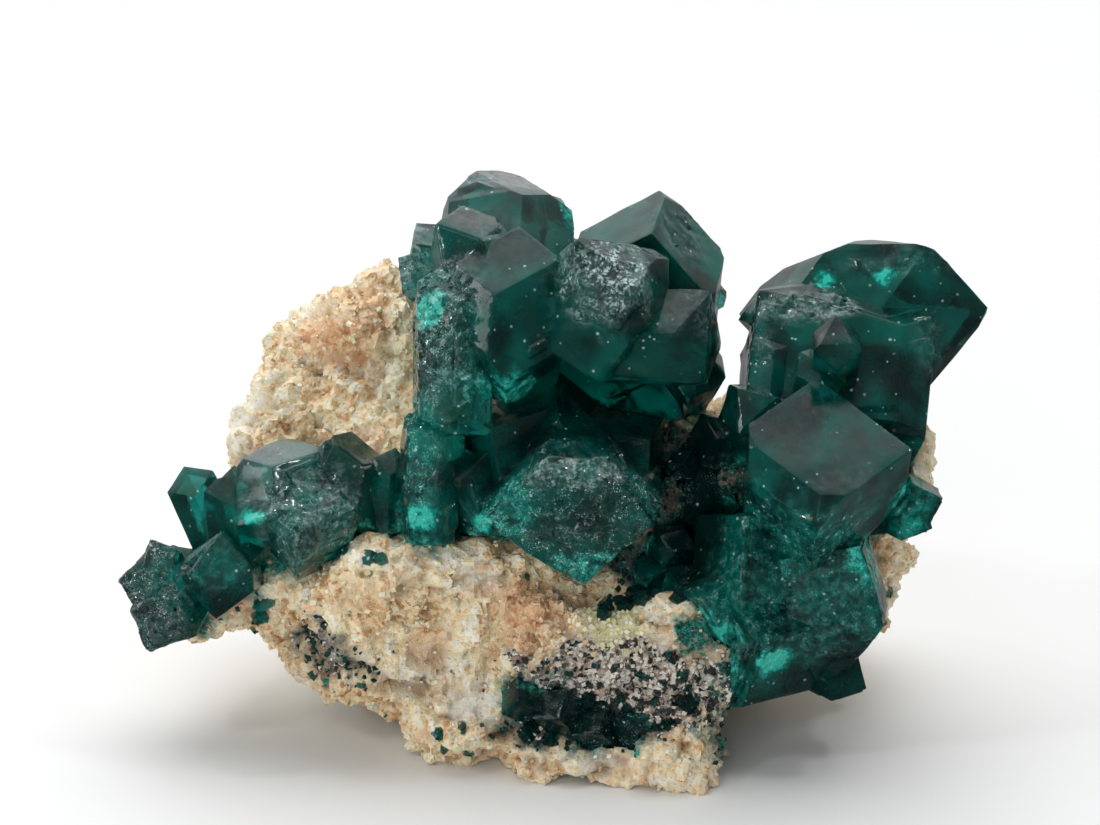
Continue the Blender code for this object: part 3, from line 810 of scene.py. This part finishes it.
def rockMaterial():
    g = Graph("carbonateRock")
    broad, mottled = g.noise(0.30, 4.0, 0.6), g.noise(1.6, 4.0, 0.65)
    fine, finest = g.noise(5.0, 4.0, 0.7), g.noise(12.0, 2.0, 0.6)
    grains = g.add("ShaderNodeSeparateColor", {}, {"Color": g.cells(3.6, output="Color")})
    speck = grains * 0.5 + finest * 0.5
    tone = broad * 0.42 + mottled * 0.30 + grains * 0.14 + fine * 0.14
    colour = g.ramp((tone - 0.5) * 3.0 + 0.62, *rockTones["stops"])
    rusty = ((g.noise(0.55, 4.0, 0.65) - 0.54) * 7.0).clamped()
    limy = ((g.noise(0.42, 4.0, 0.7) - 0.58) * 8.0).clamped()
    colour = g.mix(rusty * 0.7, colour, rockTones["rust"])
    colour = g.mix(limy * 0.6, colour, rockTones["lime"])
    # darker in random pits, and painted shade in the hollows of the relief
    dark = ((0.42 - fine) * 9.0).clamped().orMore(g.share("hollow") * (0.4 + mottled))
    colour = g.mix(dark.clamped() * 0.7, colour, rockTones["pitAndShade"])
    # the near-black stain tone is also painted shade in the cleft and under the overhangs
    for tone, strength in (("rust", 0.7), ("lime", 0.75), ("stain", 0.95), ("pale", 0.8)):
        share = (g.share(tone) * 1.6 + (mottled - 0.5) * 1.6 + (speck - 0.5) * 1.4 - 0.35).clamped()
        colour = g.mix(share * g.share(tone).clamped() * strength, colour, rockTones[tone])
    druse = g.ramp((speck - 0.5) * 0.75 + mottled * 0.5 + 0.25, *rockTones["druseStops"])
    colour = g.mix((g.share("pink") * 2.0 + (mottled - 0.5) * 1.5 - 0.5).clamped(), colour, druse)
    teal = (g.share("teal") * 1.5 + (mottled - 0.5) * 2.2 - 0.35).clamped()
    crust = g.mix(((fine - 0.45) * 5.0).clamped(), rockTones["deepTeal"], rockTones["teal"])
    colour = g.mix(teal, colour, crust)
    colour = g.mix(((finest - 0.62) * 12.0).clamped() * 0.6, colour, rockTones["pale"])
    height = fine * 0.6 + g.cells(5.5) * 0.4 + finest * 0.25
    rough = (0.85 - 0.35 * teal - 0.35 * g.share("pink") - 0.3 * g.share("stain")).clamped()
    return g.finish(g.principled({
        "Base Color": colour, "Roughness": rough,
        "Normal": g.bump(height, rockTones["bumpDepth"])}))


def floorMaterial(colour, roughness):
    g = Graph("paleFloor")
    tone = g.mix(g.noise(0.02, 2.0), (*colour, 1.0), (*[c * 0.97 for c in colour], 1.0))
    return g.finish(g.principled({"Base Color": tone, "Roughness": roughness}))


gem = gemMaterial()
masses = [
    finishedMass("centralGems", centralMass, gem),
    finishedMass("rightGems", rightMass, gem),
    finishedMass("leftGems", leftMass, gem),
    finishedMass("lowerGems", lowerMass, gem),
]

# rock
rockSkin = {
    "voxel": 0.22,
    "sharpAngle": math.radians(20.0),
    "lumps": ((0.42, 0.50), (0.9, 0.45), (1.9, 0.30)),  # (per millimetre, height)
    "facets": ((0.75, 0.40), (1.5, 0.42), (2.8, 0.26)),
    "ragged": ((0.7, 0.45), (2.0, 0.3)),  # of the zones' edges
    "reach": 1.2,  # how far from a crystal the relief fades
    "grip": dict(starts=0.6, full=0.35, fade=0.25, share=0.92),  # how it closes on a crystal
    "crust": dict(reach=0.75, fade=0.6, ragged=1.6, share=0.85),  # teal near the crystals
}
rockZones = [
    # the tall block behind on the left
    dict(at=(-9.8, 4.9, -4.0), size=(3.2, 2.4, 6.0), rust=0.55),
    dict(at=(-7.1, 3.2, -2.0), size=(1.6, 4.5, 4.0), lime=0.6),
    dict(at=(-13.5, 1.5, -4.0), size=(2.2, 3.0, 6.0), rust=0.25),
    # the left end and the knob
    dict(at=(-17.7, -4.3, -1.0), size=(1.3, 2.0, 3.5), lime=1.0),
    dict(at=(-16.0, -9.7, 2.0), size=(2.8, 1.8, 3.5), rust=1.0),
    dict(at=(-14.0, -9.9, 2.0), size=(0.5, 1.4, 3.0), stain=0.9, teal=0.7),
    # painted shade under the overhanging ledge, with the druse's pink
    dict(at=(-11.5, -11.4, 2.0), size=(3.4, 1.7, 4.0), stain=0.9, pink=0.3),
    dict(at=(-11.0, -13.2, 2.0), size=(1.2, 0.6, 3.0), teal=1.0),
    # the front
    dict(at=(-1.6, -9.0, 5.0), size=(2.8, 2.0, 3.5), rust=0.9),
    dict(at=(-9.2, -8.6, 4.0), size=(1.6, 1.0, 3.0), rust=0.6),
    dict(at=(-5.6, -11.2, 4.0), size=(1.4, 1.6, 3.0), rust=0.7),
    dict(at=(-10.5, 3.5, -4.0), size=(1.6, 1.6, 5.0), rust=0.9),
    dict(at=(-7.0, -8.5, 4.0), size=(4.0, 2.0, 4.0), lime=0.35),
    dict(at=(3.0, -10.1, 4.0), size=(1.8, 1.6, 3.5), lime=1.0),
    dict(at=(3.6, -12.9, 3.0), size=(6.0, 2.3, 5.0), pink=0.9, stain=0.45),
    # painted shade and dark stain low under the lower crystals
    dict(at=(1.4, -14.7, 3.0), size=(4.2, 1.1, 4.5), stain=1.0, teal=0.4),
    dict(at=(-3.4, -13.8, 3.0), size=(1.5, 1.0, 3.0), pale=1.0),
    dict(at=(3.1, -16.6, 2.0), size=(6.5, 1.9, 6.0), rust=0.3),
    dict(at=(-7.6, -5.1, 4.0), size=(0.6, 0.5, 2.0), pale=1.0),
    dict(at=(-5.8, -5.3, 4.0), size=(1.1, 1.2, 3.0), teal=1.0),
    dict(at=(-3.2, -5.2, 5.0), size=(0.7, 0.6, 2.5), teal=1.0),
    # deep in the cleft, blackened with painted shade
    dict(at=(6.3, -3.5, 2.0), size=(2.4, 4.2, 6.0), stain=1.0, teal=0.3),
    dict(at=(5.2, -7.2, 0.5), size=(2.6, 1.6, 3.0), stain=1.0, teal=0.5),
    dict(at=(9.0, -3.0, -1.0), size=(1.6, 3.0, 4.0), stain=1.0, teal=0.5),
    # under the right group
    dict(at=(10.1, -11.9, 2.0), size=(3.0, 2.4, 5.0), teal=0.6, rust=0.5),
    dict(at=(7.0, -10.5, 4.0), size=(1.6, 1.2, 3.5), teal=0.9),
    dict(at=(15.8, -9.7, 0.0), size=(1.3, 1.8, 4.0), rust=1.0),
    # painted shade and dark stain low under the right group
    dict(at=(8.4, -15.0, 1.0), size=(3.4, 1.4, 4.0), stain=0.6, teal=0.5),
]
rockQualities = ("rust", "lime", "stain", "teal", "pale", "pink")
rockFolds = [  # how far the skin comes nearer, millimetres
    dict(at=(4.2, -12.5, 4.0), size=(5.0, 1.9, 6.0), nearer=-0.9),
    dict(at=(1.6, -14.9, 4.0), size=(4.8, 0.8, 6.0), nearer=-0.9),
    dict(at=(0.7, -9.6, 4.0), size=(1.2, 1.3, 5.0), nearer=0.7),
    dict(at=(-0.9, -11.6, 4.0), size=(1.5, 1.4, 5.0), nearer=0.8),
    dict(at=(-2.6, -9.5, 4.0), size=(2.0, 2.6, 5.0), nearer=0.5),
    dict(at=(-11.0, -11.6, 3.0), size=(3.4, 1.7, 5.0), nearer=-0.9),
    dict(at=(-5.8, -12.4, 3.0), size=(1.6, 1.5, 5.0), nearer=-0.5),
    dict(at=(3.1, -16.6, 3.0), size=(5.6, 1.3, 5.0), nearer=0.5),
]


def nearestGem(trees, place, reach):
    gap, spot = reach, None
    for tree in trees:
        found, _, _, far = tree.find_nearest(place, reach)
        if found is not None and far < gap:
            gap, spot = far, found
    return gap, spot


def foldMoves(places, ragged):  # how far the folds bring each place nearer
    moves = np.zeros(len(places))
    for fold in rockFolds:
        moves += fold["nearer"] * zoneShare(places, [{**fold, "fold": 1.0}], "fold", ragged)
    return moves


def refinedRock():
    bm = cadNode("matrix_rock")
    bmesh.ops.remove_doubles(bm, verts=bm.verts, dist=0.001)
    rough = newObject("rockMatrix", bm)
    remesh = rough.modifiers.new("even skin", "REMESH")
    remesh.mode = "VOXEL"
    remesh.voxel_size = rockSkin["voxel"]
    bm = usedUp(rough)
    bm.normal_update()
    trees = [treeOf(inMillimetres(mass.data)) for mass in masses]
    moves, gaps, hollowShades = [], [], []
    places = np.array([v.co for v in bm.verts])
    ragged = np.array([waves(v.co, rockSkin["ragged"]) for v in bm.verts])
    grip, crustSkin = rockSkin["grip"], rockSkin["crust"]
    for vert, fold in zip(bm.verts, foldMoves(places, ragged * 0.6)):
        co = vert.co
        gap, spot = nearestGem(trees, co, rockSkin["reach"])
        push = waves(co, rockSkin["lumps"]) + facetPushes(co, rockSkin["facets"])
        move = (vert.normal * push + near * float(fold)) * gap / rockSkin["reach"]
        if spot is not None and gap < grip["starts"]:
            held = 1.0 - max(0.0, gap - grip["full"]) / grip["fade"]
            move += (spot - co) * grip["share"] * held
        moves.append(move)
        gaps.append(gap)
        # painted shade, deeper where the relief sinks in
        hollowShades.append(min(1.0, max(0.0, -push * 2.2 - 0.1)))
    for vert, move in zip(bm.verts, moves):
        vert.co += move
        vert.co.z = max(vert.co.z, 0.0)
    shares = {quality: zoneShare(places, rockZones, quality, ragged) for quality in rockQualities}
    crust = (crustSkin["reach"] - np.array(gaps)) / crustSkin["fade"] + ragged * crustSkin["ragged"]
    crust = np.clip(crust, 0.0, 1.0) * crustSkin["share"]
    shares["teal"] = np.maximum(shares["teal"], crust)
    shares["hollow"] = np.array(hollowShades)
    obj = skinned("rockMatrix", bm, shares, rockSkin["sharpAngle"])
    obj.data.materials.append(rockMaterial())
    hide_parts("matrix_rock")
    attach(obj, "root")
    print("rock faces", len(obj.data.polygons))
    return obj


rock = refinedRock()

# grains and seed crystals on the rock
scatter = [
    # how many, their sizes in millimetres, the zone that they gather in, and their share elsewhere
    dict(name="paleGrains", count=1900, sizes=(0.08, 0.20), zone="pale", elsewhere=0.35,
         tone=(0.88, 0.85, 0.76), other=(0.74, 0.60, 0.42), rough=0.35),
    dict(name="tanGrains", count=2000, sizes=(0.10, 0.26), zone="rust", elsewhere=0.4,
         tone=(0.74, 0.50, 0.31), other=(0.86, 0.70, 0.47), rough=0.6),
    dict(name="limeGrains", count=600, sizes=(0.10, 0.30), zone="lime", elsewhere=0.02,
         tone=(0.74, 0.72, 0.44), other=(0.88, 0.84, 0.64), rough=0.4),
    dict(name="druseGrains", count=1500, sizes=(0.10, 0.28), zone="pink", elsewhere=0.0,
         tone=(0.86, 0.80, 0.70), other=(0.03, 0.04, 0.04), rough=0.18),
    # dark pieces in the stained zones: in part real dark grains, in part standing in for painted
    # shade in the cleft and under the overhangs
    dict(name="darkGrains", count=1100, sizes=(0.08, 0.26), zone="stain", elsewhere=0.002,
         tone=(0.015, 0.03, 0.03), other=(0.004, 0.07, 0.055), rough=0.15),
    dict(name="tealGrains", count=900, sizes=(0.08, 0.24), zone="teal", elsewhere=0.002,
         tone=(0.01, 0.36, 0.28), other=(0.003, 0.10, 0.08), rough=0.3),
]


def grainMaterial(settings):
    g = Graph(settings["name"])
    each = g.add("ShaderNodeSeparateColor", {}, {"Color": g.cells(3.0, output="Color")})
    fine = g.noise(8.0, 3.0)
    share = ((each - 0.5) * 3.0 + fine).clamped()
    return g.finish(g.principled({
        "Base Color": g.mix(share, (*settings["tone"], 1.0), (*settings["other"], 1.0)),
        "Roughness": settings["rough"] + 0.15 * each, "Normal": g.bump(fine, 0.02, 0.4)}))


def rockSpots(count, zone, elsewhere, stray):  # places on the rock's skin with their normals
    faces = rock.data.polygons
    values = np.zeros(len(rock.data.vertices), np.float32)
    rock.data.attributes[zone].data.foreach_get("value", values)
    # other grains stay out of the dark stains and the painted shade
    stainAndShadeShares = np.zeros(len(values), np.float32)
    if zone not in ("stain", "teal", "pink"):
        rock.data.attributes["stain"].data.foreach_get("value", stainAndShadeShares)
    values = (elsewhere + values ** 2) * np.clip(1.0 - 1.8 * stainAndShadeShares, 0.0, 1.0)
    weights = [f.area * float(values[f.vertices[0]]) for f in faces]
    for face in stray.choices(faces, weights, k=count):
        place = face.center / mm
        if place.z > 0.4:
            yield place, face.normal.copy()


class Heap:  # small shapes gathered in handfuls, since each operator walks its whole bmesh
    handfulSize = 60

    def __init__(self):
        self.whole, self.handful, self.count = bmesh.new(), bmesh.new(), 0
        self.mesh = bpy.data.meshes.new("handful")

    def tip(self):
        self.handful.to_mesh(self.mesh)
        self.whole.from_mesh(self.mesh)
        self.handful.clear()

    def cube(self, matrix):
        bmesh.ops.create_cube(self.handful, size=1.0, matrix=matrix)
        self.count += 1
        if self.count % self.handfulSize == 0:
            self.tip()

    def object(self, name):
        self.tip()
        self.handful.free()
        bpy.data.meshes.remove(self.mesh)
        return newObject(name, self.whole)


def scatterGrains(settings):
    stray = random.Random(len(settings["name"]) * 7 + settings["count"])
    heap = Heap()
    for place, way in rockSpots(settings["count"], settings["zone"], settings["elsewhere"], stray):
        size = stray.uniform(*settings["sizes"])
        turn = Matrix.Rotation(stray.uniform(0, math.pi), 4, Vector(
            [stray.uniform(-1, 1) for _ in range(3)]).normalized())
        shape = Matrix.Diagonal((
            size, size * stray.uniform(0.6, 1.0), size * stray.uniform(0.5, 0.9), 1))
        shape = Matrix.Shear("XY", 4, (0.25, 0.25)) @ shape
        spot = Matrix.Translation((place + way * size * 0.12) * mm)
        heap.cube(spot @ turn @ shape @ Matrix.Scale(mm, 4))
    obj = heap.object(settings["name"])
    obj.data.materials.append(grainMaterial(settings))
    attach(obj, "root")
    print(settings["name"], len(obj.data.polygons))


for settings in scatter:
    scatterGrains(settings)

seedPlaces = [
    # where seed crystals stand, how many, their half widths in millimetres, and how much painted
    # shade blackens them, in part their own dark colour
    dict(at=(1.6, -14.6, 3.4), spread=(4.2, 0.8), count=34, half=(0.20, 0.55), dark=0.9),
    dict(at=(6.0, -12.8, 3.4), spread=(2.4, 1.6), count=16, half=(0.12, 0.32), dark=0.7),
    dict(at=(10.5, -12.6, 2.5), spread=(2.6, 1.6), count=22, half=(0.15, 0.45), dark=0.5),
    dict(at=(-5.2, -5.4, 4.2), spread=(2.6, 0.7), count=18, half=(0.12, 0.40)),
    dict(at=(-12.0, -6.9, 3.6), spread=(3.6, 0.7), count=16, half=(0.12, 0.36)),
    dict(at=(-13.9, -9.8, 3.4), spread=(0.4, 1.3), count=14, half=(0.12, 0.32)),
    dict(at=(4.0, -8.6, 3.0), spread=(2.0, 0.8), count=16, half=(0.15, 0.45), dark=0.9),
    dict(at=(-10.8, -12.6, 2.6), spread=(3.0, 1.0), count=7, half=(0.10, 0.22)),
    dict(at=(16.0, -8.4, 1.5), spread=(1.2, 3.0), count=10, half=(0.12, 0.32)),
    dict(at=(-5.0, -15.4, 2.4), spread=(2.4, 0.8), count=7, half=(0.12, 0.30), dark=0.4),
]


def seedCrystals():
    stray = random.Random(77)
    skin = treeOf(inMillimetres(rock.data))
    whole = bpy.data.meshes.new("seeds")
    together = bmesh.new()
    darkAndShadeShares = []
    for patch in seedPlaces:
        for number in range(patch["count"]):
            aim = seen((patch["at"][0] + stray.gauss(0, 0.5) * patch["spread"][0],
                        patch["at"][1] + stray.gauss(0, 0.5) * patch["spread"][1], 0.0))
            start = aim + near * 40
            place, way, _, _ = skin.ray_cast(start, -near)
            if place is None or place.z < 0.8:
                continue
            half = stray.uniform(*patch["half"])
            along = (way + Vector([stray.uniform(-0.8, 0.8) for _ in range(3)])).normalized()
            front = along.orthogonal().normalized()
            c = dict(apex=place + along * half * stray.uniform(0.6, 1.6), along=along, front=front,
                     half=half, length=half * 3.2, twist=stray.uniform(0, 60), foot=True,
                     seed=number)
            block = cutBlock(crystalPlanes(c), place, crystalHabit["seedChips"], 0.0, stray)
            scaled(block, mm)
            block.to_mesh(whole)
            block.free()
            together.from_mesh(whole)
            # each seed carries its patch's painted shade
            darkAndShadeShares += [patch.get("dark", 0.0)] * len(whole.vertices)
    bpy.data.meshes.remove(whole)
    obj = newObject("seedCrystals", together)
    addShare(obj.data, "milky", np.full(len(obj.data.vertices), 0.15))
    addShare(obj.data, "dark", np.array(darkAndShadeShares))
    obj.data.materials.append(gem)
    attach(obj, "root")
    print("seed crystals", len(obj.data.polygons))


seedCrystals()

# studio
floorMesh = bmesh.new()
bmesh.ops.create_grid(floorMesh, x_segments=1, y_segments=1, size=3.0)
floor = newObject("floor", floorMesh)
floor.data.materials.append(floorMaterial((0.86, 0.87, 0.87), 0.6))
floor.visible_glossy = False  # the stones mirror the dim side of the room, not the floor


lampAim = Vector((0.0, 0.0, 0.01))
lamps = [
    # places and sizes in metres; those not mirrored light the stones but don't show in them
    dict(name="overhead", place=(0.0, 0.16, 0.42), size=0.50, watts=1.5, mirrored=False),
    dict(name="frontFill", place=(-0.12, -0.40, 0.16), size=0.34, watts=0.65, mirrored=False),
    dict(name="leftWindow", place=(-0.42, -0.06, 0.20), size=0.26, watts=0.35, mirrored=True),
    dict(name="sparkLeft", place=(-0.26, -0.16, 0.34), size=0.05, watts=0.16, mirrored=True),
    dict(name="sparkRight", place=(0.22, 0.02, 0.40), size=0.05, watts=0.16, mirrored=True),
]


def softLight(name, place, size, watts, mirrored):
    data = bpy.data.lights.new(name, "AREA")
    data.shape, data.size, data.energy = "DISK", size, watts
    lamp = bpy.data.objects.new(name, data)
    bpy.context.scene.collection.objects.link(lamp)
    lamp.location = place
    lamp.rotation_euler = (lampAim - Vector(place)).to_track_quat("-Z", "Y").to_euler()
    lamp.visible_glossy = mirrored


for settings in lamps:
    softLight(**settings)

room = Graph("paleRoom", bpy.data.worlds)  # brightest above and behind, dim in front
direction = room.add("ShaderNodeTexCoord", output="Generated")
slope = room.add("ShaderNodeVectorMath", {"operation": "DOT_PRODUCT"},
                 {0: direction, 1: (-0.10, 0.75, 0.65)}, "Value")
bpy.context.scene.world = room.finish(room.add("ShaderNodeBackground", {}, {
    "Color": (1.0, 1.0, 1.0, 1.0), "Strength": slope.orMore(0.0) * slope * 0.85 + 0.10}))

lens = bpy.data.cameras.new("camera")
pictureWide = view["picturePixels"] / view["pixelsPerMm"] * mm
lens.sensor_width = view["sensorWide"]
lens.lens = view["sensorWide"] * view["distance"] / pictureWide
lens.clip_start = 0.005
camera = bpy.data.objects.new("camera", lens)
bpy.context.scene.collection.objects.link(camera)
camera.location = middle * mm + near * view["distance"]
camera.rotation_euler = (-near).to_track_quat("-Z", "Y").to_euler()
bpy.context.scene.camera = camera
bpy.context.scene.view_settings.view_transform = "Standard"
